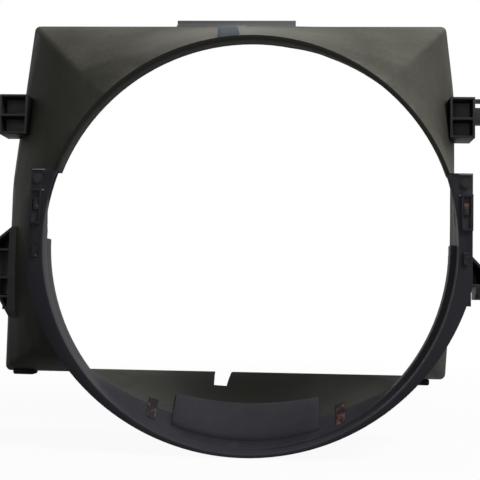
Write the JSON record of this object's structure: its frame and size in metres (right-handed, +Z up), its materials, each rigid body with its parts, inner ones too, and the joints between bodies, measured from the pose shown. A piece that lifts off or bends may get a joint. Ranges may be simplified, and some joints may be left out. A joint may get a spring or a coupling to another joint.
{
  "type": "radiator fan shroud",
  "caption": "Two-piece radiator fan shroud: a rectangular rim funnels to a round fan opening, with a removable lower half, side brackets and latches.",
  "frame": {"origin": "centre of the round fan opening, in the plane of its engine-side edge", "axes": "+Y along the fan's axis towards the radiator, +Z up, +X to the right as seen from the engine"},
  "size_m": [0.7295, 0.1536, 0.5931],
  "materials": {
    "dusty_plastic": "matte, dusty",
    "grey_plastic": "matte",
    "black_plastic": "satin",
    "spring_steel": "rust-stained",
    "bare_steel": "dull",
    "black_rubber": "matte"
  },
  "bodies": {
    "upper_half": {"upper_shroud": "dusty_plastic", "top_seal_strip": "grey_plastic", "harness_clip": "grey_plastic", "upper_left_bracket": "black_plastic", "upper_right_bracket": "black_plastic", "lower_left_bracket": "black_plastic", "lower_right_bracket": "black_plastic", "upper_left_sleeve": "bare_steel", "upper_right_sleeve": "bare_steel", "bracket_rivets": "bare_steel", "bottom_left_foot": "black_rubber", "bottom_right_foot": "black_rubber"},
    "lower_half": {"lower_shroud": "grey_plastic", "bottom_left_clip": "spring_steel", "bottom_right_clip": "spring_steel", "left_arm_latch_clip": "spring_steel", "left_lip_latch_clip": "spring_steel", "right_arm_latch_clip": "spring_steel", "right_lip_latch_clip": "spring_steel", "left_pin_grommet": "black_plastic", "right_pin_grommet": "black_plastic"},
    "left_pin": {"left_push_pin": "black_plastic"},
    "right_pin": {"right_push_pin": "black_plastic"}
  },
  "joints": [
    {"name": "lower_half_release", "type": "slide", "parent": "upper_half", "child": "lower_half", "axis": [0, -1, 0], "range_m": [0, 0.08]},
    {"name": "left_pin_pull", "type": "slide", "parent": "lower_half", "child": "left_pin", "axis": [0, -1, 0], "range_m": [0, 0.006]},
    {"name": "right_pin_pull", "type": "slide", "parent": "lower_half", "child": "right_pin", "axis": [0, -1, 0], "range_m": [0, 0.006]}
  ]
}
